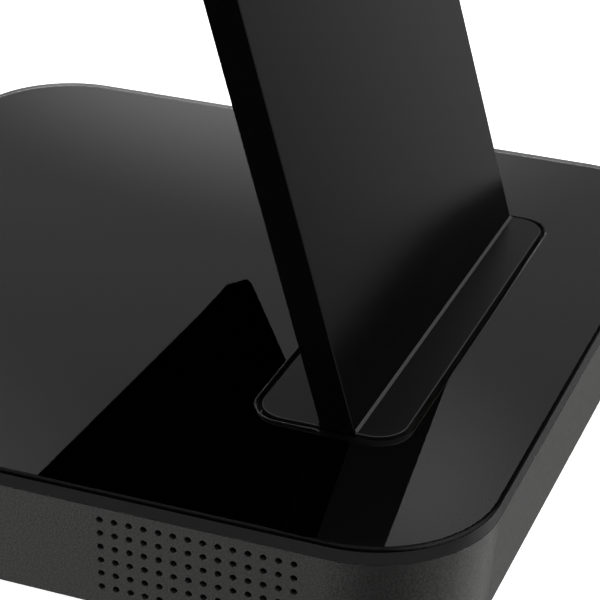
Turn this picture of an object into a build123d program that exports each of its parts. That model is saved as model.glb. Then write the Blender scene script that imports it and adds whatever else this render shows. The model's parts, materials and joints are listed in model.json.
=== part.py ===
"""Floor-standing phone charging kiosk.

A square, round-cornered metal base carries a black glass top. A thin slab mast rises through
a cut-out in the glass and leans back over the base. Its face has a ledge with three wireless
charging places, a control plate and a display; a locked door at its back opens to the electronics.
Frame: origin on the floor under the base's centre, +Z up, the user stands on the -Y side.
"""
from build123d import *
import os
from math import cos, radians, sin

os.makedirs("parts", exist_ok=True)

# ---- driving dimensions, millimetres -------------------------------------------------------
BASE = 450.0                 # side of the square base
CORNER = 62.0                # plan radius of its corners
FOOT_GAP = 8.0               # floor to the skirt's lower edge
SKIRT_H = 54.4
SKIRT_T = 2.5                # skirt wall
UNDERCUT = 4.7               # how far the front wall leans in at its lower edge
SEAL_T = 0.5
GLASS_T = 8.6
GLASS_ROUND = 2.0            # rounding of the glass top's outer edge

HOLE_PITCH = 7.5             # speaker grille
HOLE_R = 1.75
HOLE_COLUMNS = 14
HOLE_ROWS = 6
GRILLE_FIRST_Y = -49.4       # the column nearest the base's centre
GRILLE_TOP_DROP = 6.5        # skirt's upper edge to the first row

LEAN = 15.9                  # mast's lean from upright, degrees
MAST_W = 263.4
MAST_T = 17.3
MAST_FACE_Y = -141.6         # the mast's user face, at the height of the glass top
SHELL_T = 2.0                # mast shell and cover plates
SHELL_FOOT = -16.0           # distances along the mast are from the glass top
SHELL_TOP = 1172.0
MAST_TOP = 1200.0

CUT_HALF_X = 133.2           # cut-out in the glass round the mast's foot
CUT_Y = (-165.5, -85.6)
CUT_R = 17.2
CUT_ROUND = 1.6              # rounding of the cut-out's upper edge
TRIM_HALF_X = 131.5          # trim wings in the cut-out
TRIM_Y = (-163.6, -88.0)
TRIM_R = 15.8
TRIM_PROUD = 0.6             # how far the wings stand above the glass
TRIM_LIP = 1.1               # sloping lip where a wing meets the mast

PAN_T = 3.0
DECK_T = 2.0
GAP = 0.3                    # clearance between neighbours that don't touch
RUNNING = 0.05               # radial clearance of a shaft that turns or slides in its hole

LEDGE_S = 800.0              # the ledge's floor, where the phones stand
PLACES = (-82.0, 0.0, 82.0)  # centres of the three charging places across the mast
PLACE_S = 880.0
CONTROL_S = 745.0
DISPLAY_S = 1082.0
DISPLAY_SIZE = (240.0, 156.0)
COVER_SLOTS = (640.0, 6, 45.0)   # vent slots: first one's place, how many, half length
DOOR_X = 112.0               # half width of the rear door
DOOR_S = (806.0, 1158.0)
DOOR_SLOTS = (1060.0, 5, 60.0)
SLOT_PITCH = 12.0
LATCH = (98.0, 985.0)

# ---- levels that follow from them ----------------------------------------------------------
SKIRT_TOP = FOOT_GAP + SKIRT_H
GLASS_LOW = SKIRT_TOP + SEAL_T
GLASS_TOP = GLASS_LOW + GLASS_T
PAN_Z = (FOOT_GAP + 2.0, FOOT_GAP + 2.0 + PAN_T)
DECK_Z = (SKIRT_TOP - DECK_T, SKIRT_TOP)
HALF = BASE / 2
INNER = HALF - SKIRT_T        # inner face of the side and rear walls
BACK = -MAST_T               # depth of the mast's rear face
COVER_IN = BACK + SHELL_T    # inner side of the rear cover and door
RAIL_X = (117.2, 129.2)
RAIL_D = (-13.8, -2.8)
RAIL_S = (-52.0, 1100.0)
RAIL_MID = sum(RAIL_X) / 2

# Mast frame: x across, s up along the mast, d out of the user face (negative is inside).
MAST = Plane(
    origin=(0, MAST_FACE_Y, GLASS_TOP),
    x_dir=(1, 0, 0),
    z_dir=(0, -cos(radians(LEAN)), sin(radians(LEAN))),
)


# ---- helpers --------------------------------------------------------------------------------
def block(x, y, z):
    """A box given by its (low, high) pair on each axis."""
    size = [abs(high - low) for low, high in (x, y, z)]
    centre = [(low + high) / 2 for low, high in (x, y, z)]
    return Pos(*centre) * Box(*size)


def plate(x, y, z, radius):
    """A box with rounded corners in plan."""
    outline = RectangleRounded(abs(x[1] - x[0]), abs(y[1] - y[0]), radius)
    centre = ((x[0] + x[1]) / 2, (y[0] + y[1]) / 2, min(z))
    return Pos(*centre) * extrude(outline, abs(z[1] - z[0]))


def rod(radius, x, y, z):
    """A cylinder along Z, from z[0] to z[1]."""
    height = abs(z[1] - z[0])
    return Pos(x, y, (z[0] + z[1]) / 2) * Cylinder(radius, height)


def ring(outer, inner, x, y, z):
    """A flat ring along Z."""
    return rod(outer, x, y, z) - rod(inner, x, y, (z[0] - 1, z[1] + 1))


def cone_frustum(low_r, high_r, x, y, z):
    """A cone's slice along Z, low_r at z[0] and high_r at z[1]."""
    return Pos(x, y, (z[0] + z[1]) / 2) * Cone(low_r, high_r, z[1] - z[0])


def around(centre, half):
    """The (low, high) pair about a centre."""
    return (centre - half, centre + half)


def on_mast(shape):
    """Place a shape built in (x, s, d) on the leaning mast."""
    return MAST * shape


def mast_yz(depth, z):
    """The world (y, z) of the mast plane at a depth, at height z."""
    along = (z - GLASS_TOP - depth * sin(radians(LEAN))) / cos(radians(LEAN))
    return (MAST_FACE_Y + along * sin(radians(LEAN)) - depth * cos(radians(LEAN)), z)


def mast_point(s, depth):
    """The world (y, z) of a point of the mast."""
    y = MAST_FACE_Y + s * sin(radians(LEAN)) - depth * cos(radians(LEAN))
    z = GLASS_TOP + s * cos(radians(LEAN)) + depth * sin(radians(LEAN))
    return (y, z)


def vent_slots(place, z):
    """A ladder of slots across the mast; place is the first one's s, how many, and half length."""
    first, count, half = place
    return [plate(around(0, half), around(first + SLOT_PITCH * i, 1.5), z, 1.4) for i in range(count)]


def solids_of(shape):
    """The solids of a shape or of a list of shapes."""
    if isinstance(shape, (list, tuple)):
        return [solid for item in shape for solid in solids_of(item)]
    return list(shape.solids())


def save(name, shape):
    """Write a sub-part; a group of pieces is written as separate solids."""
    solids = solids_of(shape)
    export_step(solids[0] if len(solids) == 1 else Compound(children=solids), f"parts/{name}.step")


# ---- base ------------------------------------------------------------------------------------
def skirt_body(inset):
    """The base's outer form, moved in by inset: a round-cornered box with a leaning front wall."""
    radius = CORNER - inset
    wide = BASE - 2 * inset
    high = Plane.XY.offset(SKIRT_TOP) * RectangleRounded(wide, wide, radius)
    low_plane = Plane(origin=(0, UNDERCUT / 2, FOOT_GAP))
    low = low_plane * RectangleRounded(wide, wide - UNDERCUT, radius)
    return loft([low, high])


TAB = (24.0, 12.0, 6.0)      # skirt tabs that the pan is screwed to: along, inwards, thick
TAB_ROOT = 1.6               # how far a tab runs into the wall it is welded to
TAB_FRONT_X = (-110.0, 110.0)
TAB_SIDE_Y = (-15.0, 120.0)
BAY_X = 56.0                 # recessed bay for the mains inlet and switch, in the rear wall
BAY_Z = (20.0, 52.0)
BAY_MID_Z = sum(BAY_Z) / 2
BAY_HALF_Z = (BAY_Z[1] - BAY_Z[0]) / 2
BAY_BACK = 190.0


def tab_places():
    """Centre and half size of each tab."""
    along, inwards, _ = TAB
    front_y = -(HALF - UNDERCUT) + SKIRT_T + inwards / 2
    rear_y = INNER - inwards / 2
    places = [(x, y, along / 2, inwards / 2) for x in TAB_FRONT_X for y in (front_y, rear_y)]
    side_x = INNER - inwards / 2
    places += [(side * side_x, y, inwards / 2, along / 2) for side in (-1, 1) for y in TAB_SIDE_Y]
    return places


def grille_holes():
    """The speaker holes of both side walls."""
    first_z = SKIRT_TOP - GRILLE_TOP_DROP
    holes = []
    for column in range(HOLE_COLUMNS):
        for row in range(HOLE_ROWS):
            centre = (0, GRILLE_FIRST_Y - column * HOLE_PITCH, first_z - row * HOLE_PITCH)
            holes.append(Pos(*centre) * Rot(0, 90, 0) * Cylinder(HOLE_R, BASE + 10))
    return holes


def base_skirt(screws):
    """The folded skirt: its walls, the pan's tabs, the grilles and the bay's opening."""
    shell = skirt_body(0) - skirt_body(SKIRT_T)
    tab_z = (PAN_Z[1], PAN_Z[1] + TAB[2])
    for x, y, half_x, half_y in tab_places():
        tab = block(around(x, half_x + TAB_ROOT), around(y, half_y + TAB_ROOT), tab_z)
        shell += tab & skirt_body(SKIRT_T - TAB_ROOT)
    shell -= grille_holes()
    bay = plate(around(0, BAY_X), around(BAY_MID_Z, BAY_HALF_Z), (0, 20), 4.0)
    return shell - Pos(0, HALF + 10, 0) * Rot(90, 0, 0) * bay - screws


FEET = [(x, y) for x in (-172.0, 172.0) for y in (-172.0, 172.0)]
FOOT_NAMES = ("front_left", "rear_left", "front_right", "rear_right")
STUD_R = 5.0


def levelling_foot(x, y):
    """A moulded pad on a threaded stud."""
    pad = cone_frustum(20.0, 17.5, x, y, (0, 5.0)) + cone_frustum(17.5, 9.0, x, y, (5.0, 8.0))
    return pad + rod(STUD_R, x, y, (8.0, 44.0))


def foot_nut(x, y):
    hexagon = extrude(RegularPolygon(9.0, 6), 6.0)
    nut = Pos(x, y, PAN_Z[1]) * hexagon
    return nut - rod(STUD_R + RUNNING, x, y, (0, 60))


CLAMP_FRONT_Y = -188.0       # screws through the pan into the clamp's two cheeks
CLAMP_REAR_Y = -92.0


def pan_screw_places():
    clamp = [(x, y) for x in (-95.0, -32.0, 32.0, 95.0) for y in (CLAMP_FRONT_Y, CLAMP_REAR_Y)]
    return [(x, y) for x, y, _, _ in tab_places()] + clamp


def pan_screw(x, y):
    """A button-head screw, driven up through the pan."""
    head = rod(4.6, x, y, (PAN_Z[0] - 1.6, PAN_Z[0]))
    return head + rod(2.5, x, y, (PAN_Z[0], PAN_Z[1] + 5.5))


POSTS = [(x, y) for x in (-196.0, 196.0) for y in (-182.0, 60.0, 182.0)]
POSTS += [(-40.0, -40.0), (40.0, -40.0)]


def deck_post(x, y):
    return rod(6.0, x, y, (PAN_Z[1], DECK_Z[0]))


AIR_SLOTS_X = (-60.0, -20.0, 20.0, 60.0)


def air_slots(z):
    """Slots that let air up through the pan and the ballast."""
    return [plate(around(x, 14), around(0, 2), z, 1.9) for x in AIR_SLOTS_X]


def base_pan(screws):
    margin = 0.6
    front = -(HALF - UNDERCUT) + SKIRT_T + margin
    pan = plate(around(0, INNER - margin), (front, INNER - margin), PAN_Z, CORNER - SKIRT_T)
    pan -= [rod(STUD_R + RUNNING, x, y, (0, 60)) for x, y in FEET]
    return pan - air_slots(PAN_Z) - screws


def glass_deck():
    """The plate that the glass rests on, open where the mast passes through."""
    deck = plate(around(0, INNER - GAP), around(0, INNER - GAP), DECK_Z, CORNER - SKIRT_T)
    mast_y = (mast_yz(0, DECK_Z[0])[0] - 2.0, mast_yz(BACK, DECK_Z[1])[0] + 2.0)
    return deck - block(around(0, MAST_W / 2 + 1.8), mast_y, (DECK_Z[0] - 1, DECK_Z[1] + 1))


def cut_out(grow, z, radius):
    """The cut-out's outline, moved out by grow."""
    x = around(0, CUT_HALF_X + grow)
    return plate(x, (CUT_Y[0] - grow, CUT_Y[1] + grow), z, radius)


def glass_seal():
    """The rubber strips under the glass: one round its edge, one round the cut-out."""
    z = (SKIRT_TOP, GLASS_LOW)
    outer = plate(around(0, HALF - 1.0), around(0, HALF - 1.0), z, CORNER - 1.0)
    inner = plate(around(0, HALF - 14), around(0, HALF - 14), (z[0] - 1, z[1] + 1), CORNER - 14)
    collar = cut_out(8.0, z, CUT_R + 8) - cut_out(1.0, (z[0] - 1, z[1] + 1), CUT_R + 1)
    return [outer - inner, collar]


def glass_top():
    """The glass, with the upper edges of its outline and of the cut-out rounded."""
    glass = plate(around(0, HALF), around(0, HALF), (GLASS_LOW, GLASS_TOP), CORNER)
    glass = fillet(glass.faces().sort_by(Axis.Z)[-1].edges(), GLASS_ROUND)
    glass -= cut_out(0, (GLASS_LOW - 1, GLASS_TOP + 1), CUT_R)
    rim = glass.faces().sort_by(Axis.Z)[-1].inner_wires()[0].edges()
    return fillet(rim, CUT_ROUND)


def trim_wing(depth, other_side, outward):
    """One wing of the trim, from the mast outwards, with a sloping lip along the mast.

    depth is the mast plane beside the wing and outward the wing's way along Y, -1 or 1.
    """
    top = GLASS_TOP + TRIM_PROUD
    whole = plate(around(0, TRIM_HALF_X), TRIM_Y, (SKIRT_TOP, top), TRIM_R)
    wing = whole - on_mast(block(around(0, 140), (-200, 200), other_side))
    inner_y = mast_yz(depth, top)[0]
    edges = wing.faces().sort_by(Axis.Z)[-1].edges()
    wing = chamfer([edge for edge in edges if abs(edge.center().Y - inner_y) > 0.01], 0.3)
    lip_half = TRIM_HALF_X - 0.3
    low = top - 1.0              # the lip's root, inside the wing
    outline = [
        mast_yz(depth, low),
        mast_yz(depth, top + TRIM_LIP),
        (inner_y + outward * TRIM_LIP, top),
        (inner_y + outward * TRIM_LIP, low),
    ]
    face = make_face(Polyline(*[(0, y, z) for y, z in outline], close=True))
    return wing + Pos(-lip_half, 0, 0) * extrude(face, 2 * lip_half, dir=(1, 0, 0))


# ---- clamp that holds the mast's foot ----------------------------------------------------------
CHEEK_T = 8.0
CHEEK_TOP = -22.0
CLAMP_FOOT_T = 6.0


def clamp(inner_depth, outer_depth, foot_end):
    """A cheek that leans with the mast, standing on a flat foot."""
    low, step = PAN_Z[1], PAN_Z[1] + CLAMP_FOOT_T
    outline = [
        mast_yz(inner_depth, low),
        mast_point(CHEEK_TOP, inner_depth),
        mast_point(CHEEK_TOP, outer_depth),
        mast_yz(outer_depth, step),
        (foot_end, step),
        (foot_end, low),
    ]
    face = make_face(Polyline(*[(0, y, z) for y, z in outline], close=True))
    return Pos(-MAST_W / 2, 0, 0) * extrude(face, MAST_W, dir=(1, 0, 0))


CLAMP_BOLTS = [(side * RAIL_MID, s) for side in (-1, 1) for s in (-44.0, -31.0)]


def clamp_bolt(x, s):
    """A socket-head bolt through both cheeks and a rail, with its nut."""
    front, back = RAIL_D[1] + CHEEK_T, RAIL_D[0] - CHEEK_T
    bolt = rod(2.5, x, s, (back - 5, front)) + rod(4.2, x, s, (front, front + 5))
    nut = Pos(x, s, back - 4) * extrude(RegularPolygon(4.5, 6), 4)
    return on_mast(bolt + nut)


# ---- base equipment ------------------------------------------------------------------------------
SPEAKER_Y = GRILLE_FIRST_Y - (HOLE_COLUMNS - 1) * HOLE_PITCH / 2
SPEAKER_Z = SKIRT_TOP - GRILLE_TOP_DROP - (HOLE_ROWS - 1) * HOLE_PITCH / 2


def beside_wall(shape):
    """Turn a shape built along +Z from the wall's inner face, and copy it to both side walls."""
    inward = Pos(-INNER, SPEAKER_Y, SPEAKER_Z) * Rot(0, 90, 0) * shape
    return [inward, Pos(INNER, SPEAKER_Y, SPEAKER_Z) * Rot(0, -90, 0) * shape]


def grille_cloth():
    return plate(around(0, 21.5), around(0, 54), (0.05, 0.6), 3.0)


def speaker_frame():
    frame = plate(around(0, 21.5), around(0, 54), (0.7, 3.2), 6.0)
    frame -= plate(around(0, 18), around(0, 46), (0, 4), 17.5)
    basket = plate(around(0, 19.5), around(0, 47.5), (3.2, 14), 19.0)
    basket -= plate(around(0, 18), around(0, 46), (3, 12.5), 17.5)
    return frame + basket - rod(13.0, 0, 0, (12, 15))


def speaker_cone():
    wide = Plane.XY.offset(4.0) * RectangleRounded(34, 90, 16.5)
    narrow = Plane.XY.offset(11.0) * RectangleRounded(16, 30, 7.5)
    return loft([wide, narrow])


def speaker_magnet():
    return rod(12.9, 0, 0, (12.6, 24.0)) + rod(9.0, 0, 0, (24.0, 27.0))


BALLAST_TOP = PAN_Z[1] + 12.0


def ballast():
    """Steel plates on the pan, behind the clamp."""
    z = (PAN_Z[1], BALLAST_TOP)
    rear = plate(around(0, 180), (72.0, 150.0), z, 6.0)
    middle = plate(around(0, 110), (-22.0, 70.0), z, 6.0)
    return [rear, middle - air_slots(z)]


def power_supply():
    """A cased supply with cooling ribs cut in its lid."""
    lid = BALLAST_TOP + 32.0
    case = plate((-20.0, 150.0), (76.0, 146.0), (BALLAST_TOP, lid), 2.0)
    case = chamfer(case.faces().sort_by(Axis.Z)[-1].edges(), 1.0)
    return case - [block(around(8.0 + 10 * i, 1.5), (90, 132), around(lid, 1)) for i in range(14)]


def circuit_board(x, y, z, chips):
    """A board with its components; a chip is (x, y, half x, half y, height)."""
    board = block(x, y, z)
    for chip_x, chip_y, half_x, half_y, height in chips:
        board += block(around(chip_x, half_x), around(chip_y, half_y), (z[1], z[1] + height))
    return board


def charger_board():
    z = (BALLAST_TOP + 6.0, BALLAST_TOP + 7.6)
    chips = [(-150.0 + 24 * i, 92.0, 6.0, 6.0, 9.0) for i in range(5)]
    chips += [(-140.0 + 30 * i, 128.0, 9.0, 5.0, 12.0) for i in range(4)]
    board = circuit_board((-165.0, -35.0), (78.0, 144.0), z, chips)
    for x in (-160.0, -40.0):
        for y in (83.0, 139.0):
            board += rod(2.5, x, y, (BALLAST_TOP, z[0]))
    return board


INLET_X = -22.0
SWITCH_X = 28.0


def io_panel():
    """The recessed tray behind the opening in the rear wall."""
    wall = 1.5
    hole_y = (BAY_BACK - 3, BAY_BACK + 1)
    tray_z = around(BAY_MID_Z, BAY_HALF_Z + wall)
    tray = block(around(0, BAY_X + wall), (BAY_BACK - wall, INNER), tray_z)
    tray += block(around(0, BAY_X + 7), (INNER - wall, INNER), around(BAY_MID_Z, BAY_HALF_Z + 5))
    tray -= block(around(0, BAY_X), (BAY_BACK, INNER + 1), BAY_Z)
    inlet_hole = block(around(INLET_X, 14.2), hole_y, around(BAY_MID_Z, 10.2))
    switch_hole = block(around(SWITCH_X, 9.7), hole_y, around(BAY_MID_Z, 12.7))
    return tray - inlet_hole - switch_hole


def power_inlet():
    """A three-pin mains inlet: flange, body and the deep cavity for the plug."""
    flange_y = (BAY_BACK, BAY_BACK + 2.5)
    flange = block(around(INLET_X, 24.0), flange_y, around(BAY_MID_Z, 12.5))
    body = block(around(INLET_X, 14.0), (BAY_BACK - 20, BAY_BACK), around(BAY_MID_Z, 10.0))
    cavity = block(around(INLET_X, 12.0), (BAY_BACK - 16, BAY_BACK + 5), around(BAY_MID_Z, 8.0))
    return flange + body - cavity


def inlet_pins():
    places = [(-7.0, -2.0), (0.0, 2.0), (7.0, -2.0)]
    y = (BAY_BACK - 16, BAY_BACK - 3)
    return [block(around(INLET_X + x, 1.0), y, around(BAY_MID_Z + z, 2.0)) for x, z in places]


ROCKER_Y = BAY_BACK + 0.5
ROCKER_TILT = 8.0


def switch_bezel():
    """The rocker's frame and the body behind it, hollow for the rocker's swing."""
    y = (BAY_BACK, BAY_BACK + 1.8)
    bezel = block(around(SWITCH_X, 11.5), y, around(BAY_MID_Z, 14.5))
    bezel += block(around(SWITCH_X, 9.5), (BAY_BACK - 18, BAY_BACK), around(BAY_MID_Z, 12.5))
    room_y = (BAY_BACK - 14, BAY_BACK + 5)
    return bezel - block(around(SWITCH_X, 8.0), room_y, around(BAY_MID_Z, 11.4))


def power_rocker():
    """A rocker that is higher at both ends, at rest tilted to its lower stop."""
    outline = [(-7.0, 0.0), (-2.0, -9.6), (2.9, -10.2), (0.9, 0.0), (2.9, 10.2), (-2.0, 9.6)]
    points = [(0, y, z) for y, z in outline]
    paddle = extrude(make_face(Polyline(*points, close=True)), 15.0, dir=(1, 0, 0))
    paddle = Pos(-7.5, 0, 0) * paddle
    return Pos(SWITCH_X, ROCKER_Y, BAY_MID_Z) * Rot(ROCKER_TILT, 0, 0) * paddle


# ---- mast ------------------------------------------------------------------------------------------
def mast_shell(cuts):
    """The mast's face and sides, folded from one sheet and open at the back."""
    outer = block(around(0, MAST_W / 2), (SHELL_FOOT, SHELL_TOP), (BACK, 0))
    outer = fillet(outer.edges().filter_by(Axis.Y), 0.8)
    inner_x = around(0, MAST_W / 2 - SHELL_T)
    shell = outer - block(inner_x, (SHELL_FOOT - 1, SHELL_TOP + 1), (BACK - 1, -SHELL_T))
    return on_mast(shell - cuts)


def mast_rails():
    return [block((s * RAIL_X[0], s * RAIL_X[1]), RAIL_S, RAIL_D) for s in (-1, 1)]


COVER_X = MAST_W / 2 - SHELL_T - GAP
COVER_SCREW_S = (20.0, 200.0, 380.0, 560.0, 740.0, 920.0, 1085.0)


def cover_screw(x, s):
    """A countersunk screw through the cover into a rail."""
    head = cone_frustum(3.0, 1.5, x, s, (BACK, BACK + 1.5))
    return head + rod(1.5, x, s, (BACK + 1.5, RAIL_D[0] + 5.0))


def rear_cover(screws):
    """The fixed back plate, with the door's opening and the vent slots under it."""
    through = (BACK - 1, COVER_IN + 1)
    cover = block(around(0, COVER_X), (SHELL_FOOT, SHELL_TOP - GAP), (BACK, COVER_IN))
    cover -= block(around(0, DOOR_X + 0.5), (DOOR_S[0] - 0.5, DOOR_S[1] + 0.5), through)
    return cover - vent_slots(COVER_SLOTS, through) - screws


def door_frame():
    """The stop round the door's opening, which the latch hooks behind."""
    z = (COVER_IN, COVER_IN + 1.5)
    outer = block(around(0, DOOR_X + 4.5), (DOOR_S[0] - 6, DOOR_S[1] + 6), z)
    cut_z = (z[0] - 1, z[1] + 1)
    return outer - block(around(0, DOOR_X - 2), (DOOR_S[0] + 6, DOOR_S[1] - 6), cut_z)


def top_cap():
    """The plastic end cap, rounded at its upper corners."""
    cap = block(around(0, MAST_W / 2), (SHELL_TOP, MAST_TOP), (BACK, 0))
    upper = cap.edges().filter_by(Axis.Z).group_by(Axis.Y)[-1]
    cap = fillet(upper, 9.0)
    rim = cap.faces().filter_by(Axis.Z).edges().group_by(Axis.Y)[1:]
    cap = fillet([edge for edges in rim for edge in edges], 0.8)
    plug_d = (COVER_IN + GAP, -SHELL_T - GAP)
    return cap + block(around(0, COVER_X), (SHELL_TOP - 5, SHELL_TOP + 1), plug_d)


def display_opening(grow, z):
    width, height = DISPLAY_SIZE
    return plate(around(0, width / 2 + grow), around(DISPLAY_S, height / 2 + grow), z, 5.0 + grow)


CONTROL_HALF = (90.0, 13.0)
USB_A_X = (-70.0, 70.0)
USB_C_X = (-40.0, 40.0)
BUTTON_R = 9.0


def control_opening(grow, z):
    half_x, half_s = CONTROL_HALF
    return plate(around(0, half_x + grow), around(CONTROL_S, half_s + grow), z, 4.0 + grow)


def usb_a_space(grow, z):
    return [block(around(x, 6.3 + grow), around(CONTROL_S, 2.6 + grow), z) for x in USB_A_X]


def usb_c_space(grow, z):
    s = around(CONTROL_S, 1.3 + grow)
    return [plate(around(x, 4.2 + grow), s, z, 1.2 + grow) for x in USB_C_X]


def control_plate():
    z = (-SHELL_T, 0)
    cut = (-SHELL_T - 1, 1)
    body = control_opening(-0.1, z)
    body -= usb_a_space(0.45, cut)
    body -= usb_c_space(0.35, cut)
    return body - rod(BUTTON_R + GAP, 0, CONTROL_S, cut)


def usb_sockets(space, deep, tongue_half):
    """Metal shells with a tongue, one for each place in space."""
    sockets = []
    half_x, half_s = tongue_half
    for shell, hollow in zip(space(0.35, (-deep, 0)), space(0, (-deep + 1.5, 1))):
        centre = shell.center()
        tongue_x, tongue_s = around(centre.X, half_x), around(centre.Y, half_s)
        sockets.append((shell - hollow) + block(tongue_x, tongue_s, (-deep + 1, -1.5)))
    return sockets


def button_bezel():
    return ring(BUTTON_R + 3.4, BUTTON_R + GAP, 0, CONTROL_S, (0, 0.8))


def start_button():
    cap = rod(BUTTON_R, 0, CONTROL_S, (-6.0, 1.2))
    cap = fillet(cap.edges().group_by(Axis.Z)[-1], 0.6)
    return cap + rod(3.0, 0, CONTROL_S, (-9.0, -6.0))


def button_switch():
    """The switch body behind the start button, with room for its plunger."""
    body = block(around(0, 13.0), around(CONTROL_S, 11.0), (-14.5, -SHELL_T - 0.5))
    body -= rod(BUTTON_R + GAP, 0, CONTROL_S, (-8.5, 0))
    return body - rod(3.0 + GAP, 0, CONTROL_S, (-12.0, 0))


VOLUME_S = {"volume_down_button": 1122.0, "volume_up_button": 1144.0}


def volume_button(s):
    """A small key through the mast's side wall, with a flange that keeps it in."""
    side = Pos(0, s, BACK / 2) * Rot(0, 90, 0)
    key = extrude(RectangleRounded(5.0, 14.0, 2.4), 3.3)
    flange = extrude(RectangleRounded(8.0, 17.0, 3.0), 1.2)
    key = fillet(key.edges().group_by(Axis.Z)[-1], 0.4)
    reach = MAST_W / 2
    return side * (Pos(0, 0, reach - 2.7) * key + Pos(0, 0, reach - SHELL_T - GAP - 1.2) * flange)


def volume_hole(s):
    hole = extrude(RectangleRounded(5.6, 14.6, 2.7), 6.0)
    return Pos(0, s, BACK / 2) * Rot(0, 90, 0) * Pos(0, 0, MAST_W / 2 - 4) * hole


def display_glass():
    glass = display_opening(-0.25, (-SHELL_T, 0))
    return chamfer(glass.faces().sort_by(Axis.Z)[-1].edges(), 0.3)


def display_panel():
    return block(around(0, 115), around(DISPLAY_S, 73), (-7.2, -SHELL_T))


def display_board():
    chips = [(-35.0 + 24 * i, DISPLAY_S + 12, 7.0, 7.0, 1.4) for i in range(4)]
    board = circuit_board(around(0, 55), around(DISPLAY_S, 32), (7.6, 9.2), chips)
    return mirror(board, Plane.XY)


def charge_coil(x):
    return ring(24.0, 9.0, x, PLACE_S, (-4.4, -SHELL_T - 0.1))


def coil_shield(x):
    return rod(26.0, x, PLACE_S, (-5.4, -4.5))


def coil_board(x):
    chips = [(x + dx, PLACE_S + dy, 4.5, 4.5, 1.6) for dx in (-14, 14) for dy in (-14, 14)]
    board = circuit_board(around(x, 26), around(PLACE_S, 26), (5.8, 7.4), chips)
    return mirror(board, Plane.XY)


def pad_ring(x):
    pad = ring(29.0, 25.0, x, PLACE_S, (0, 0.9))
    return fillet(pad.edges().group_by(Axis.Z)[-1], 0.4)


def status_light(x):
    return rod(1.8, x, PLACE_S + 84, (-3.4, 0.2))


LEDGE_HALF_X = 124.0
LEDGE_DEPTH = 26.0
LEDGE_T = 4.0
LIP_H = 12.0
LEDGE_SCREWS = (-100.0, -34.0, 34.0, 100.0)


def charge_ledge():
    """The shelf that the phones stand on: a web against the mast, a floor and a lip."""
    low = LEDGE_S - LEDGE_T
    outline = [
        (low - 22, 0),
        (low - 22, LEDGE_T),
        (low, LEDGE_T),
        (low, LEDGE_DEPTH),
        (LEDGE_S + LIP_H, LEDGE_DEPTH),
        (LEDGE_S + LIP_H, LEDGE_DEPTH - LEDGE_T),
        (LEDGE_S, LEDGE_DEPTH - LEDGE_T),
        (LEDGE_S, 0),
    ]
    face = make_face(Polyline(*[(0, s, d) for s, d in outline], close=True))
    ledge = Pos(-LEDGE_HALF_X, 0, 0) * extrude(face, 2 * LEDGE_HALF_X, dir=(1, 0, 0))
    outer = ledge.edges().filter_by(Axis.X)
    bends = [e for e in outer if e.center().Z > LEDGE_DEPTH - 0.1]
    tops = [e for e in outer if e.center().Y > LEDGE_S + LIP_H - 0.1 and e not in bends]
    return fillet(bends + tops, 1.2)


def ledge_mat():
    depth = (1.0, LEDGE_DEPTH - LEDGE_T - 0.5)
    return block(around(0, LEDGE_HALF_X - 3), (LEDGE_S, LEDGE_S + 1.5), depth)


def ledge_screw(x):
    """A pan-head screw from inside the mast into the ledge's web."""
    s = LEDGE_S - LEDGE_T - 11
    return rod(3.4, x, s, (-SHELL_T - 2.2, -SHELL_T)) + rod(1.9, x, s, (-SHELL_T, LEDGE_T - 1.0))


def mast_loom():
    """The flat cable inside the mast, from the base up to the head."""
    return block(around(0, 12), (-44, 700), (-6.0, -3.5))


# ---- rear door ---------------------------------------------------------------------------------------
HINGE_X = -DOOR_X - 0.25
HINGE_D = BACK - 2.4
KNUCKLE_R = 2.2
PIN_R = 1.1
HINGE_S = (880.0, 1090.0)
HINGE_HALF = 20.0
LEAF_T = 1.2
LATCH_R = 5.0
CAM_D = (-13.3, -11.8)
CAM_REACH = 16.0


def along_mast(radius, s):
    """A cylinder along the mast at the hinge axis."""
    length = s[1] - s[0]
    return Pos(HINGE_X, (s[0] + s[1]) / 2, HINGE_D) * Rot(90, 0, 0) * Cylinder(radius, length)


def hinge_leaf(side, s, knuckles, others):
    """One leaf and its knuckles; side is -1 for the fixed leaf and 1 for the door's."""
    near, far = HINGE_X + side * 1.0, HINGE_X + side * 14.0
    leaf = block((near, far), around(s, HINGE_HALF), (BACK - LEAF_T, BACK))
    for low, high in others:
        room = (HINGE_X - 3.0, HINGE_X + 3.0)
        leaf -= block(room, (s + low - GAP, s + high + GAP), (BACK - 5, BACK + 1))
    for low, high in knuckles:
        leaf += along_mast(KNUCKLE_R, (s + low, s + high))
    return leaf - along_mast(PIN_R + RUNNING, (s - 30, s + 30))


END_KNUCKLES = [(-20.0, -8.0), (8.0, 20.0)]
MIDDLE_KNUCKLE = [(-7.7, 7.7)]


def rear_door():
    """The door's plate, with vent slots and a boss round the latch."""
    door = block(around(0, DOOR_X), DOOR_S, (BACK, COVER_IN))
    door -= vent_slots(DOOR_SLOTS, (BACK - 1, COVER_IN + 1))
    door += rod(8.5, *LATCH, (BACK - 0.8, BACK))
    return door - rod(LATCH_R + RUNNING, *LATCH, (BACK - 2, COVER_IN + 1))


def latch_barrel():
    """The quarter-turn barrel, slotted for a coin or key."""
    barrel = rod(LATCH_R, *LATCH, (BACK - 1.2, CAM_D[0]))
    slot = block(around(LATCH[0], 3.6), around(LATCH[1], 0.7), (BACK - 2, BACK + 0.4))
    return barrel - slot


def latch_cam():
    """The cam, at rest turned up along the mast, clear of the door's frame."""
    x, s = LATCH
    return plate(around(x, 4.5), (s - 5.5, s + CAM_REACH), CAM_D, 4.0)


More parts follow.
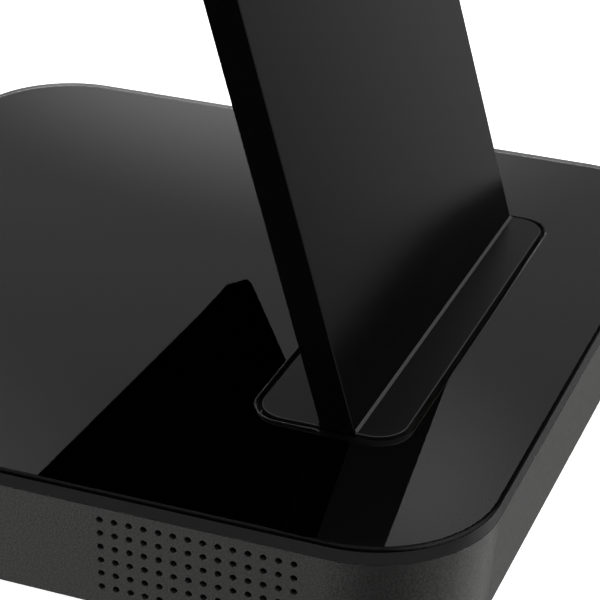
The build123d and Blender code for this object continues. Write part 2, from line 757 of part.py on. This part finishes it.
# ---- build and write every sub-part ---------------------------------------------------------------------
def build_base():
    screws = [pan_screw(x, y) for x, y in pan_screw_places()]
    save("pan_screws", screws)
    save("base_skirt", base_skirt(screws))
    save("base_pan", base_pan(screws))
    save("glass_deck", glass_deck())
    save("deck_posts", [deck_post(x, y) for x, y in POSTS])
    save("glass_seal", glass_seal())
    save("glass_top", glass_top())
    save("front_trim", trim_wing(GAP, (-200, GAP), -1))
    save("rear_trim", trim_wing(BACK - GAP, (BACK - GAP, 200), 1))
    bolts = [clamp_bolt(x, s) for x, s in CLAMP_BOLTS]
    save("clamp_bolts", bolts)
    front = clamp(RAIL_D[1], RAIL_D[1] + CHEEK_T, CLAMP_FRONT_Y - 8)
    rear = clamp(RAIL_D[0], RAIL_D[0] - CHEEK_T, CLAMP_REAR_Y + 10)
    save("mast_clamp_front", front - bolts - screws)
    save("mast_clamp_rear", rear - bolts - screws)
    for name, (x, y) in zip(FOOT_NAMES, FEET):
        save(f"levelling_foot_{name}", levelling_foot(x, y))
    save("foot_nuts", [foot_nut(x, y) for x, y in FEET])
    return bolts


def build_equipment():
    save("grille_cloths", beside_wall(grille_cloth()))
    save("speaker_frames", beside_wall(speaker_frame()))
    save("speaker_cones", beside_wall(speaker_cone()))
    save("speaker_magnets", beside_wall(speaker_magnet()))
    save("ballast_plates", ballast())
    save("power_supply", power_supply())
    save("charger_board", charger_board())
    save("io_panel", io_panel())
    save("power_inlet", [power_inlet()] + inlet_pins())
    save("switch_bezel", switch_bezel())
    save("power_rocker", power_rocker())


def build_mast(bolts):
    through = (-SHELL_T - 1, 1)
    ledge_screws = [ledge_screw(x) for x in LEDGE_SCREWS]
    lights = [status_light(x) for x in PLACES]
    cuts = [display_opening(0, through), control_opening(0, through)] + ledge_screws + lights
    cuts += [volume_hole(s) for s in VOLUME_S.values()]
    cover_screws = [cover_screw(side * RAIL_MID, s) for side in (-1, 1) for s in COVER_SCREW_S]
    save("mast_shell", mast_shell(cuts))
    rails = [on_mast(rail - cover_screws) - bolts for rail in mast_rails()]
    save("mast_rails", rails)
    fixed = [hinge_leaf(-1, s, END_KNUCKLES, MIDDLE_KNUCKLE) for s in HINGE_S]
    pins = [along_mast(PIN_R, around(s, HINGE_HALF)) for s in HINGE_S]
    pieces = {
        "rear_cover_screws": cover_screws,
        "rear_cover": rear_cover(cover_screws),
        "door_frame": door_frame(),
        "top_cap": top_cap(),
        "display_glass": display_glass(),
        "display_panel": display_panel(),
        "display_board": display_board(),
        "charge_coils": [charge_coil(x) for x in PLACES],
        "coil_shields": [coil_shield(x) for x in PLACES],
        "coil_boards": [coil_board(x) for x in PLACES],
        "pad_rings": [pad_ring(x) for x in PLACES],
        "status_lights": lights,
        "charge_ledge": charge_ledge() - ledge_screws,
        "ledge_mat": ledge_mat(),
        "ledge_screws": ledge_screws,
        "control_plate": control_plate(),
        "usb_a_sockets": usb_sockets(usb_a_space, 12.5, (5.0, 0.9)),
        "usb_c_sockets": usb_sockets(usb_c_space, 9.5, (3.2, 0.4)),
        "button_bezel": button_bezel(),
        "button_switch": button_switch(),
        "mast_loom": mast_loom(),
        "hinge_leaves_fixed": fixed,
        "hinge_pins": pins,
        "start_button": start_button(),
    }
    for name, s in VOLUME_S.items():
        pieces[name] = volume_button(s)
    for name, shape in pieces.items():
        save(name, [on_mast(solid) for solid in solids_of(shape)])


def build_door():
    leaves = [hinge_leaf(1, s, MIDDLE_KNUCKLE, END_KNUCKLES) for s in HINGE_S]
    pieces = {
        "rear_door": rear_door(),
        "hinge_leaves_door": leaves,
        "latch_barrel": latch_barrel(),
        "latch_cam": latch_cam(),
    }
    for name, shape in pieces.items():
        save(name, [on_mast(solid) for solid in solids_of(shape)])


clamp_bolts = build_base()
build_equipment()
build_mast(clamp_bolts)
build_door()
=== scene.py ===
"""Looks of the floor-standing phone charging kiosk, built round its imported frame."""
import json
import math

import bmesh
import bpy
from mathutils import Matrix, Vector


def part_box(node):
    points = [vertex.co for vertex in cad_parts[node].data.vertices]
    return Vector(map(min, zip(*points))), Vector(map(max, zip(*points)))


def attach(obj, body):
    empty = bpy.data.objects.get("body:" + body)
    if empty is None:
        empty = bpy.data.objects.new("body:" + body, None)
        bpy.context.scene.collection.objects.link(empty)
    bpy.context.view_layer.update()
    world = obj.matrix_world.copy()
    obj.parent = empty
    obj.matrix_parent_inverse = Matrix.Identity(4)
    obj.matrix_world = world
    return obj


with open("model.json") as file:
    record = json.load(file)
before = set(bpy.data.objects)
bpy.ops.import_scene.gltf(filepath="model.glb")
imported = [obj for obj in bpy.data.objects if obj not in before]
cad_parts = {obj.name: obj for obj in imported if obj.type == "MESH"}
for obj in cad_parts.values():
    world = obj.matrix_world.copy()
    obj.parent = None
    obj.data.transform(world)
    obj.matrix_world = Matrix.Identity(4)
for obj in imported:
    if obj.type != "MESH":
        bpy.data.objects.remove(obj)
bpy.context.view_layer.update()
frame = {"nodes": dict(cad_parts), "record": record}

# ---- the kiosk, metres --------------------------------------------------------------------------
MM = 0.001
GLASS_LOW, GLASS_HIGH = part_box("glass_top")
MAST_FACE_Y = -141.6 * MM        # foot of the mast's user face, level with the glass
LEAN = math.radians(15.9)

# x across the mast, y up along it and z out of the user face, from the foot of that face.
MAST = (Matrix.Translation((0, MAST_FACE_Y, GLASS_HIGH.z))
        @ Matrix.Rotation(math.pi / 2 - LEAN, 4, "X"))

# ---- the kiosk, millimetres; on the mast X is across and S up along it --------------------------
BASE_CORNER = 62.0
CUT_HALF_X, CUT_Y, CUT_CORNER = 133.2, (-165.5, -85.6), 17.2
PRINT_INSET, PRINT_LIFT, PRINT_THICK = 0.15, 0.05, 0.05
MAST_BACK = -17.3                # depth of the mast's rear face
PLACES = (-82.0, 0.0, 82.0)      # middles of the charging places
PLACE_S = 880.0
DISPLAY_S = 1082.0
CONTROL_S = 745.0
COVER_SCREW_X = 123.2
COVER_SCREW_S = (20.0, 200.0, 380.0, 560.0, 740.0, 920.0, 1085.0)
USB_A_X = (-70.0, 70.0)
USB_CONTACT_X = (-3.5, -1.2, 1.2, 3.5)
USB_CONTACT_S = CONTROL_S - 0.9
USB_CONTACT_DEPTH = (-8.0, -1.6)
VOLUME_DOWN_S, VOLUME_UP_S = 1122.0, 1144.0
BUTTON_FACE = 1.2                # how far the start button stands out of the mast
MARK_THICK, SCREEN_THICK = 0.04, 0.02
SKIN = 0.03                      # how far a mark or recess stands proud of its surface
RECESS_DEPTH = 0.3

# ---- the screen's symbols, millimetres; rises are from its middle -------------------------------
BATTERY_HALF_X, BATTERY_HALF_Y, BATTERY_RISE = 22.0, 11.0, 7.0
BATTERY_WALL, BATTERY_GAP = 1.6, 3.4
BATTERY_LEVELS = (0.85, 0.55, 0.3)
SCREEN_BOLT_RISE, SCREEN_RULE_RISE = 36.0, -62.0
SCREEN_BARS = ((-22.0, 18.0), (-29.0, 11.0))     # rise and half length
SCREEN_RULE = 0.3                # half thickness of the dividing lines

# ---- the viewpoint ------------------------------------------------------------------------------
AIM = Vector((-0.0104, -0.0657, 0.0709))
AIM_DISTANCE = 1.2077
AZIMUTH, ELEVATION, ROLL = math.radians(-68.91), math.radians(27.66), math.radians(0.61)
LENS, SENSOR, CLIP_END = 134.15, 36.0, 100.0

# ---- the studio, metres -------------------------------------------------------------------------
FLOOR_HALF, SURROUND_RADIUS = 30.0, 28.0
FLOOR_GLOW = (0.75, 1.0)         # near the kiosk and far from it
FLOOR_GLOW_REACH = (0.8, 4.0)
BACKDROP_X, CARD_GAP = 2.1, 0.1
BACKDROP_CORNERS = ((-0.45, 0.45), (2.2, 0.45), (2.2, 2.4), (0.22, 2.4), (0.22, 1.35), (-0.45, 1.2))
CARD_CORNERS = ((0.794, 1.189), (0.803, 1.181), (0.838, 1.198), (0.888, 1.263), (1.6, 2.13),
                (1.6, 2.4), (0.227, 2.4))
BACKDROP_RADIANCE = 0.3
POOLS = (                        # y, z, reach along y and z, radiance in the middle
    (0.85, 0.75, 0.75, 0.42, 1.0),
    (0.52, 1.6, 0.35, 0.35, 0.33),
    (1.45, 1.85, 0.5, 0.5, 0.2),
)
WORLD_LOBES = (                  # direction, whether its opposite counts, (cosine, radiance) stops
    ((0.987, -0.139, -0.087), False, ((0.5, 0.02), (0.9, 0.04), (0.97, 0.42))),
    ((0.557, -0.557, -0.616), False, ((0.88, 0.0), (0.98, 0.45))),
    ((0.0, 0.0, 1.0), False, ((0.6, 0.0), (0.85, 0.16))),
    ((0.0, 0.9, -0.436), True, ((0.6, 0.0), (0.97, 0.5))),
)


def add_object(name, data):
    thing = bpy.data.objects.new(name, data)
    bpy.context.scene.collection.objects.link(thing)
    return thing


def make_camera():
    data = bpy.data.cameras.new("camera")
    data.lens = LENS
    data.sensor_width = SENSOR
    data.clip_end = CLIP_END
    camera = add_object("camera", data)
    level = math.cos(ELEVATION)
    back = Vector((math.sin(AZIMUTH) * level, -math.cos(AZIMUTH) * level, math.sin(ELEVATION)))
    turn = (-back).to_track_quat("-Z", "Y").to_matrix() @ Matrix.Rotation(ROLL, 3, "Z")
    camera.matrix_world = Matrix.Translation(AIM + back * AIM_DISTANCE) @ turn.to_4x4()
    bpy.context.scene.camera = camera


# ---- node trees ---------------------------------------------------------------------------------
class Nodes:
    """The node tree of a material or a world, with short ways to add to it."""

    def __init__(self, owner, shader="Principled BSDF"):
        owner.use_nodes = True
        self.owner = owner
        self.tree = owner.node_tree
        self.shader = self.tree.nodes[shader]

    def add(self, kind, **settings):
        node = self.tree.nodes.new(kind)
        for key, value in settings.items():
            if key in node.inputs:
                node.inputs[key].default_value = value
            else:
                setattr(node, key, value)
        return node

    def link(self, source, target):
        self.tree.links.new(source, target)

    def feed(self, node, values):
        """Give a node's first inputs their values, each a number, a vector or a socket."""
        for socket, value in zip(node.inputs, values):
            if hasattr(value, "is_linked"):
                self.link(value, socket)
            else:
                socket.default_value = value
        return node

    def maths(self, operation, *values):
        return self.feed(self.add("ShaderNodeMath", operation=operation), values).outputs["Value"]

    def vectors(self, operation, *values):
        node = self.feed(self.add("ShaderNodeVectorMath", operation=operation), values)
        return node.outputs["Value" if operation in ("LENGTH", "DOT_PRODUCT") else "Vector"]

    def coordinates(self, kind="Object"):
        """A CAD node's object frame is the row frame."""
        return self.add("ShaderNodeTexCoord").outputs[kind]

    def upness(self):
        """The z part of the surface's own normal, 1 where it faces straight up."""
        parts = self.add("ShaderNodeSeparateXYZ")
        self.feed(parts, [self.add("ShaderNodeNewGeometry").outputs["True Normal"]])
        return parts.outputs["Z"]

    def noise(self, size, detail=2.0, rough=0.5, scale=(1, 1, 1)):
        """Noise whose features are about size metres."""
        node = self.add("ShaderNodeTexNoise", Scale=1.0 / size, Detail=detail, Roughness=rough)
        mapping = self.add("ShaderNodeMapping", Scale=scale)
        self.link(self.coordinates(), mapping.inputs["Vector"])
        self.link(mapping.outputs["Vector"], node.inputs["Vector"])
        return node.outputs["Fac"]

    def ramp(self, source, stops):
        node = self.add("ShaderNodeValToRGB")
        ramp = node.color_ramp
        while len(ramp.elements) < len(stops):
            ramp.elements.new(0.5)
        for element, (position, colour) in zip(ramp.elements, stops):
            element.position = position
            element.color = (*colour, 1.0)
        self.link(source, node.inputs["Fac"])
        return node.outputs["Color"]

    def between(self, source, low, high, start=0.0, end=1.0, curve="LINEAR"):
        """Map start..end onto low..high."""
        node = self.add("ShaderNodeMapRange", interpolation_type=curve)
        limits = {"From Min": start, "From Max": end, "To Min": low, "To Max": high}
        for name, value in limits.items():
            node.inputs[name].default_value = value
        self.link(source, node.inputs["Value"])
        return node.outputs["Result"]

    def set(self, **values):
        for key, value in values.items():
            self.shader.inputs[key.replace("_", " ")].default_value = value

    def colour(self, source):
        self.link(source, self.shader.inputs["Base Color"])

    def shades(self, source, dark, light, edge=0.35):
        """Dark up to edge, light from one minus edge."""
        self.colour(self.ramp(source, [(edge, dark), (1.0 - edge, light)]))

    def roughness(self, source, low, high):
        self.link(self.between(source, low, high), self.shader.inputs["Roughness"])

    def bump(self, source, height):
        node = self.add("ShaderNodeBump", Distance=height)
        self.link(source, node.inputs["Height"])
        self.link(node.outputs["Normal"], self.shader.inputs["Normal"])


def material_nodes(name):
    return Nodes(bpy.data.materials.new(name))


def grey(value, warm=0.0):
    return (value * (1 + warm), value, value * (1 - warm))


# ---- materials ----------------------------------------------------------------------------------
FINE_BUMP = 0.00001              # metres
GLASS_IOR = 1.52
WAVE_PER_METRE = 0.314           # the wave texture's scale for one band a metre


def textured_paint(name, dark, light, grain, height, roughness, specular):
    """Powder coat: fine speckle, orange-peel bump and slightly varied gloss."""
    n = material_nodes(name)
    fine = n.noise(grain, detail=3.0, rough=0.6)
    n.shades(fine, dark, light)
    n.roughness(n.noise(grain * 6), roughness - 0.05, roughness + 0.05)
    n.bump(fine, height)
    n.set(Specular_IOR_Level=specular)
    return n.owner


def trim_paint(name, grain=0.0006, lip_upness=0.79, lip_spread=0.15):
    """Satin black whose sloping lips are painted a paler grey, a painted highlight along them."""
    n = material_nodes(name)
    lip_highlight_mask = n.maths("COMPARE", n.upness(), lip_upness, lip_spread)
    fine = n.noise(grain, detail=3.0, rough=0.6)
    highlight_and_grain = n.maths("MULTIPLY", n.maths("ADD", lip_highlight_mask, fine), 0.5)
    face = [(0.15, grey(0.002)), (0.4, grey(0.004))]
    # Paler grey on the sloping lips is a painted highlight: the lip along the mast foot made to
    # look as if it catches the light.
    painted_highlight = [(0.6, grey(0.02)), (0.85, grey(0.032))]
    n.colour(n.ramp(highlight_and_grain, face + painted_highlight))
    n.roughness(n.noise(grain * 6), 0.35, 0.45)
    n.bump(fine, FINE_BUMP)
    n.set(Specular_IOR_Level=0.24)
    return n.owner


def clear_glass(name, wall_upness=0.02, ground=0.35, smear=0.012):
    """Clear glass with polished faces and finely ground side walls."""
    n = material_nodes(name)
    wall = n.maths("LESS_THAN", n.maths("ABSOLUTE", n.upness()), wall_upness)
    faint = n.between(n.noise(0.02, detail=4.0), 0.0, smear)
    rough = n.maths("ADD", n.maths("MULTIPLY", wall, ground), faint)
    n.link(rough, n.shader.inputs["Roughness"])
    n.colour(n.ramp(wall, [(0.0, (0.93, 0.95, 0.94)), (1.0, (0.95, 0.97, 0.96))]))
    n.set(IOR=GLASS_IOR, Transmission_Weight=1.0)
    return n.owner


def polished_glass(name, tint, roughness):
    n = material_nodes(name)
    n.shades(n.noise(0.08), tint, tuple(1.2 * c for c in tint))
    n.roughness(n.noise(0.03, detail=4.0), roughness, roughness + 0.02)
    n.set(IOR=GLASS_IOR)
    return n.owner


def plain_metal(name, dark, light, roughness):
    """Rolled or plated metal with a faint brushed grain."""
    n = material_nodes(name)
    grain = n.noise(0.002, detail=3.0, scale=(0.05, 1, 1))
    n.shades(grain, dark, light, edge=0.3)
    n.roughness(grain, roughness - 0.07, roughness + 0.07)
    n.set(Metallic=1.0)
    n.bump(grain, FINE_BUMP)
    return n.owner


def moulded(name, dark, light, grain, roughness, specular=0.4):
    """Plastic, rubber or card with a grain as deep as a fraction of its size."""
    n = material_nodes(name)
    fine = n.noise(grain)
    n.shades(fine, dark, light)
    n.roughness(fine, roughness - 0.05, roughness + 0.08)
    n.bump(fine, grain * 0.08)
    n.set(Specular_IOR_Level=specular)
    return n.owner


def cloth(name, dark, light, pitch):
    """Open acoustic cloth: two crossing sets of threads."""
    n = material_nodes(name)
    waves = []
    for direction in ("Y", "Z"):
        wave = n.add("ShaderNodeTexWave", Scale=WAVE_PER_METRE / pitch, wave_type="BANDS",
                     bands_direction=direction)
        n.link(n.coordinates(), wave.inputs["Vector"])
        waves.append(wave.outputs["Fac"])
    both = n.maths("MULTIPLY", *waves)
    n.shades(both, dark, light, edge=0.2)
    n.bump(both, pitch * 0.3)
    n.set(Roughness=0.9, Specular_IOR_Level=0.1)
    return n.owner


def glowing(name, tint, strength):
    """A lit mark: a pale moulded surface with a soft uneven glow."""
    n = material_nodes(name)
    bright = tuple(min(1.0, 1.15 * c) for c in tint)
    glow = n.ramp(n.noise(0.004), [(0.3, tint), (0.7, bright)])
    n.colour(glow)
    n.link(glow, n.shader.inputs["Emission Color"])
    n.set(Emission_Strength=strength, Roughness=0.4)
    return n.owner


MATERIALS = {
    "base_paint": textured_paint(
        "base_paint", grey(0.026, 0.02), grey(0.068, 0.02),
        grain=0.0009, height=0.00004, roughness=0.32, specular=0.5),
    "mast_paint": textured_paint(
        "mast_paint", grey(0.0003), grey(0.001),
        grain=0.0009, height=0.00003, roughness=0.2, specular=0.4),
    "trim_black": trim_paint("trim_black"),
    "black_glass": clear_glass("black_glass"),
    "display_cover": polished_glass("display_cover", grey(0.0015), roughness=0.01),
    "zinc_steel": plain_metal("zinc_steel", grey(0.42), grey(0.6), roughness=0.35),
    "bright_metal": plain_metal("bright_metal", grey(0.6), grey(0.75), roughness=0.28),
    "black_plastic": moulded(
        "black_plastic", grey(0.012), grey(0.02), grain=0.0005, roughness=0.5),
    "soft_rubber": moulded(
        "soft_rubber", grey(0.006), grey(0.012), grain=0.0004, roughness=0.75, specular=0.25),
    "speaker_cloth": cloth("speaker_cloth", grey(0.002), grey(0.008), pitch=0.0006),
    "speaker_paper": moulded(
        "speaker_paper", grey(0.02), grey(0.04), grain=0.0008, roughness=0.85),
    "magnet_ferrite": moulded(
        "magnet_ferrite", grey(0.06), grey(0.1), grain=0.0006, roughness=0.6),
    "circuit_board": moulded(
        "circuit_board", (0.01, 0.07, 0.03), (0.02, 0.12, 0.05), grain=0.002, roughness=0.35),
    "display_module": moulded(
        "display_module", grey(0.03), grey(0.05), grain=0.002, roughness=0.3),
    "copper_wire": plain_metal(
        "copper_wire", (0.5, 0.22, 0.1), (0.75, 0.38, 0.2), roughness=0.3),
    "light_pipe": glowing("light_pipe", (0.62, 0.85, 0.8), strength=0.8),
}
BACK_PRINT = moulded(
    "back_print", grey(0.0004), grey(0.0008), grain=0.002, roughness=0.6, specular=0.0)
MARK = moulded("mark", grey(0.32), grey(0.4), grain=0.0008, roughness=0.5)
# Near black: on the cover screws it is painted shade standing in for the shadowed hollow of each
# drive recess; on the start button it is the dark print of the power symbol.
PRINT_AND_RECESS_SHADE = moulded("recess", grey(0.003), grey(0.006), grain=0.0006, roughness=0.6, specular=0.2)
SCREEN_LIT = glowing("screen_lit", (0.55, 0.86, 0.8), strength=1.1)
SCREEN_DIM = glowing("screen_dim", (0.16, 0.24, 0.26), strength=0.35)


def paint_frame():
    for part in frame["record"]["subparts"]:
        node = frame["nodes"][part["node"]]
        node.data.materials.clear()
        node.data.materials.append(MATERIALS[part["material_slot"]])


# ---- outlines, millimetres ----------------------------------------------------------------------
def rounded(low, high, radius, steps=6):
    """A round-cornered rectangle from its low and high corner, counter-clockwise."""
    corners = [(high[0], low[1], -90), (high[0], high[1], 0),
               (low[0], high[1], 90), (low[0], low[1], 180)]
    points = []
    for x, y, start in corners:
        centre_x = x - math.copysign(radius, x - (low[0] + high[0]) / 2)
        centre_y = y - math.copysign(radius, y - (low[1] + high[1]) / 2)
        for step in range(steps + 1):
            angle = math.radians(start + 90 * step / steps)
            points.append((centre_x + radius * math.cos(angle),
                           centre_y + radius * math.sin(angle)))
    return points


def around(x, y, half_x, half_y, radius):
    """A round-cornered rectangle from its middle."""
    return rounded((x - half_x, y - half_y), (x + half_x, y + half_y), radius)


def circle(x, y, radius, steps=24):
    turns = [2 * math.pi * i / steps for i in range(steps)]
    return [(x + radius * math.cos(t), y + radius * math.sin(t)) for t in turns]


def bolt(x, y, height):
    """A plain lightning bolt, the usual mark for charging."""
    shape = [(0.12, 0.5), (-0.3, -0.06), (-0.03, -0.06), (-0.12, -0.5), (0.3, 0.08), (0.03, 0.08)]
    return [(x + height * u, y + height * v) for u, v in shape]


def cross(x, y, half, bar):
    """An upright cross of arms half long, on bars of half thickness bar."""
    ends = [(half, -bar), (half, bar), (bar, bar), (bar, half), (-bar, half), (-bar, bar),
            (-half, bar), (-half, -bar), (-bar, -bar), (-bar, -half), (bar, -half), (bar, -bar)]
    return [(x + u, y + v) for u, v in ends]


def battery(x, y, level):
    """The rim, end cap and charge of a battery symbol, each an outline and its holes."""
    hole = around(x, y, BATTERY_HALF_X - BATTERY_WALL, BATTERY_HALF_Y - BATTERY_WALL, radius=2.4)
    rim = (around(x, y, BATTERY_HALF_X, BATTERY_HALF_Y, radius=4.0), [hole])
    end_cap = (around(x + BATTERY_HALF_X + 2.0, y, half_x=1.6, half_y=4.5, radius=1.0), [])
    half_x, half_y = BATTERY_HALF_X - BATTERY_GAP, BATTERY_HALF_Y - BATTERY_GAP
    reach = x - half_x + level * 2 * half_x
    charge = (rounded((x - half_x, y - half_y), (reach, y + half_y), radius=1.4), [])
    return [rim, end_cap, charge]


# ---- thin pieces --------------------------------------------------------------------------------
def prism(name, shapes, place, low, high, body, slot, material):
    """A piece of flat outlines, each (outline, holes), from low to high along the place's z."""
    mesh = bmesh.new()
    for outline, holes in shapes:
        edges = []
        for loop in [outline] + list(holes):
            ring = [mesh.verts.new((x * MM, y * MM, low * MM)) for x, y in loop]
            edges += [mesh.edges.new((a, b)) for a, b in zip(ring, ring[1:] + ring[:1])]
        bmesh.ops.triangle_fill(mesh, use_beauty=True, edges=edges)
    faces = list(mesh.faces)
    raised = bmesh.ops.extrude_face_region(mesh, geom=faces)["geom"]
    moved = [item for item in raised if isinstance(item, bmesh.types.BMVert)]
    bmesh.ops.translate(mesh, verts=moved, vec=(0, 0, (high - low) * MM))
    bmesh.ops.recalc_face_normals(mesh, faces=mesh.faces)
    data = bpy.data.meshes.new(name)
    mesh.transform(place)
    mesh.to_mesh(data)
    mesh.free()
    data.materials.append(material)
    piece = add_object(name, data)
    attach(piece, body)


def make_back_print():
    """The black enamel on the underside of the clear glass."""
    half = GLASS_HIGH.x / MM - PRINT_INSET
    outline = rounded((-half, -half), (half, half), BASE_CORNER, 24)
    hole = rounded((-CUT_HALF_X - PRINT_INSET, CUT_Y[0] - PRINT_INSET),
                   (CUT_HALF_X + PRINT_INSET, CUT_Y[1] + PRINT_INSET), CUT_CORNER, 12)
    low = GLASS_LOW.z / MM + PRINT_LIFT
    prism("glass_back_print", [(outline, [hole])], Matrix.Identity(4), low, low + PRINT_THICK,
          "kiosk", "soft_rubber", BACK_PRINT)


def make_marks():
    """Printed and lit marks on the mast: generic symbols without lettering."""
    bolts = [(bolt(x, PLACE_S, height=17), []) for x in PLACES]
    prism("charging_marks", bolts, MAST, 0.0, MARK_THICK, "kiosk", "light_pipe", MARK)
    power = [(circle(0, CONTROL_S, radius=4.2), [circle(0, CONTROL_S, radius=3.5)]),
             (around(0, CONTROL_S, half_x=0.4, half_y=2.2, radius=0.3), [])]
    prism("start_button_mark", power, MAST, BUTTON_FACE, BUTTON_FACE + MARK_THICK,
          "start_button", "bright_metal", PRINT_AND_RECESS_SHADE)

    lit, dim = [], []
    for x, level in zip(PLACES, BATTERY_LEVELS):
        lit += battery(x, DISPLAY_S + BATTERY_RISE, level)
        dim.append((bolt(x, DISPLAY_S + SCREEN_BOLT_RISE, height=20), []))
        for rise, half_x in SCREEN_BARS:
            dim.append((around(x, DISPLAY_S + rise, half_x, half_y=1.2, radius=1.0), []))
    for x in (PLACES[0] / 2, PLACES[2] / 2):
        dim.append((around(x, DISPLAY_S, SCREEN_RULE, half_y=52, radius=0.25), []))
    rule_s = DISPLAY_S + SCREEN_RULE_RISE
    dim.append((around(0, rule_s, half_x=100, half_y=SCREEN_RULE, radius=0.25), []))
    prism("screen_batteries", lit, MAST, 0.0, SCREEN_THICK, "kiosk", "display_module", SCREEN_LIT)
    prism("screen_symbols", dim, MAST, 0.0, SCREEN_THICK, "kiosk", "display_module", SCREEN_DIM)


def make_fastener_details():
    """Drive recesses shown as flat pieces in painted shade, the sockets' contacts and the volume
    keys' marks.
    """
    # Each cross is a flat near-black piece on the screw head: painted shade for the hollow of its
    # drive recess.
    crosses = [(cross(side * COVER_SCREW_X, s, half=1.7, bar=0.32), [])
               for side in (-1, 1) for s in COVER_SCREW_S]
    prism("cover_screw_recesses", crosses, MAST, MAST_BACK - SKIN, MAST_BACK + RECESS_DEPTH,
          "kiosk", "zinc_steel", PRINT_AND_RECESS_SHADE)
    contacts = [(around(x + dx, USB_CONTACT_S, half_x=0.5, half_y=0.06, radius=0.02), [])
                for x in USB_A_X for dx in USB_CONTACT_X]
    prism("usb_contacts", contacts, MAST, *USB_CONTACT_DEPTH,
          "kiosk", "bright_metal", MATERIALS["bright_metal"])
    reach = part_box("volume_up_button")[1].x / MM
    side = (MAST @ Matrix.Translation((0, 0, MAST_BACK / 2 * MM))
            @ Matrix.Rotation(math.pi / 2, 4, "Y"))
    marks = {
        "volume_down_button": around(0, VOLUME_DOWN_S, half_x=0.25, half_y=1.6, radius=0.1),
        "volume_up_button": cross(0, VOLUME_UP_S, half=1.6, bar=0.25),
    }
    for name, outline in marks.items():
        prism(name + "_mark", [(outline, [])], side, reach - SKIN, reach,
              name, "light_pipe", MARK)


# ---- floor and light ----------------------------------------------------------------------------
def see_only(thing, **seen):
    """Choose the rays that meet a stage object; the ones not named pass it by."""
    for ray in ("camera", "diffuse", "glossy", "transmission", "shadow", "volume_scatter"):
        setattr(thing, "visible_" + ray, seen.get(ray, False))


def stage_sheet(name, corners, material):
    data = bpy.data.meshes.new(name)
    data.from_pydata(corners, [], [tuple(range(len(corners)))])
    data.materials.append(material)
    sheet = add_object(name, data)
    return sheet


def emission(name, source=None, strength=1.0):
    """An emitting material; source gives its strength over the sheet."""
    n = material_nodes(name)
    n.set(Base_Color=(0, 0, 0, 1), Specular_IOR_Level=0.0, Emission_Color=(1, 1, 1, 1))
    n.set(Emission_Strength=strength)
    if source:
        n.link(source(n), n.shader.inputs["Emission Color"])
    return n.owner


def make_floor():
    """A pale floor that glows a little more far from the kiosk, so that it stays even."""
    n = material_nodes("floor")
    n.shades(n.noise(0.5), grey(0.87), grey(0.89), edge=0.3)
    spread = n.vectors("LENGTH", n.coordinates())
    glow = n.between(spread, *FLOOR_GLOW, *FLOOR_GLOW_REACH, curve="SMOOTHSTEP")
    n.link(glow, n.shader.inputs["Emission Color"])
    n.set(Roughness=0.9, Specular_IOR_Level=0.1, Emission_Strength=1.0)
    corners = [(x * FLOOR_HALF, y * FLOOR_HALF, 0) for x, y in ((-1, -1), (1, -1), (1, 1), (-1, 1))]
    floor = stage_sheet("floor", corners, n.owner)
    see_only(floor, camera=True, shadow=True, transmission=True)


def pool(n, y, z, reach_y, reach_z, radiance):
    """A soft-edged round of light on the backdrop."""
    offset = n.vectors("SUBTRACT", n.coordinates(), (BACKDROP_X, y, z))
    distance = n.vectors("LENGTH", n.vectors("DIVIDE", offset, (1, reach_y, reach_z)))
    return n.between(distance, radiance, 0.0, curve="SMOOTHSTEP")


def backdrop_strength(n):
    """An even grey with soft pools of light."""
    total = BACKDROP_RADIANCE
    for pool_of_light in POOLS:
        total = n.maths("ADD", pool(n, *pool_of_light), total)
    return total


def make_backdrop():
    """A sheet beyond the kiosk that the glass mirrors, with a black card hung before it."""
    corners = [(BACKDROP_X, y, z) for y, z in BACKDROP_CORNERS]
    sheet = stage_sheet("backdrop", corners, emission("backdrop", backdrop_strength))
    see_only(sheet, glossy=True, diffuse=True, transmission=True)
    corners = [(BACKDROP_X - CARD_GAP, y, z) for y, z in CARD_CORNERS]
    card = stage_sheet("black_card", corners, emission("black_card", strength=0.0))
    see_only(card, glossy=True, transmission=True)


def area_light(name, place, aim, size, radiance, **seen):
    """A soft box; radiance is what a mirror would show of it."""
    data = bpy.data.lights.new(name, "AREA")
    data.shape = "RECTANGLE"
    data.size, data.size_y = size
    data.energy = radiance * math.pi * size[0] * size[1]
    light = add_object(name, data)
    turn = (Vector(aim) - Vector(place)).to_track_quat("-Z", "Y").to_matrix()
    light.matrix_world = Matrix.Translation(place) @ turn.to_4x4()
    see_only(light, diffuse=True, **seen)


def make_world():
    """Light from afar: dim all round, and brighter in the directions of WORLD_LOBES."""
    world = bpy.data.worlds.new("studio")
    n = Nodes(world, "Background")
    total = None
    for axis, mirrored, stops in WORLD_LOBES:
        facing = n.vectors("DOT_PRODUCT", n.coordinates("Generated"), axis)
        if mirrored:
            facing = n.maths("ABSOLUTE", facing)
        lobe = n.ramp(facing, [(cosine, grey(radiance)) for cosine, radiance in stops])
        total = n.vectors("ADD", total, lobe) if total else lobe
    n.link(total, n.shader.inputs["Color"])
    bpy.context.scene.world = world


def make_surround():
    """A white shell that only the camera sees, so that every view has a plain pale ground."""
    mesh = bmesh.new()
    bmesh.ops.create_uvsphere(mesh, u_segments=32, v_segments=16, radius=SURROUND_RADIUS)
    data = bpy.data.meshes.new("surround")
    mesh.to_mesh(data)
    mesh.free()
    data.materials.append(emission("surround"))
    shell = add_object("surround", data)
    see_only(shell, camera=True)


def make_light():
    make_world()
    make_surround()
    make_backdrop()
    area_light("overhead", place=(0.3, -0.3, 4.0), aim=(0, 0, 0), size=(7.0, 7.0),
               radiance=1.35, transmission=True)
    area_light("left_box", place=(-1.1, 1.9, 0.55), aim=(-0.2, 0, 0.05), size=(1.0, 0.9),
               radiance=30.0)
    area_light("right_box", place=(0.55, -2.0, 0.6), aim=(0, -0.2, 0.05), size=(1.0, 0.9),
               radiance=20.0)
    bpy.context.scene.view_settings.view_transform = "Standard"


make_camera()
paint_frame()
make_back_print()
make_marks()
make_fastener_details()
make_floor()
make_light()
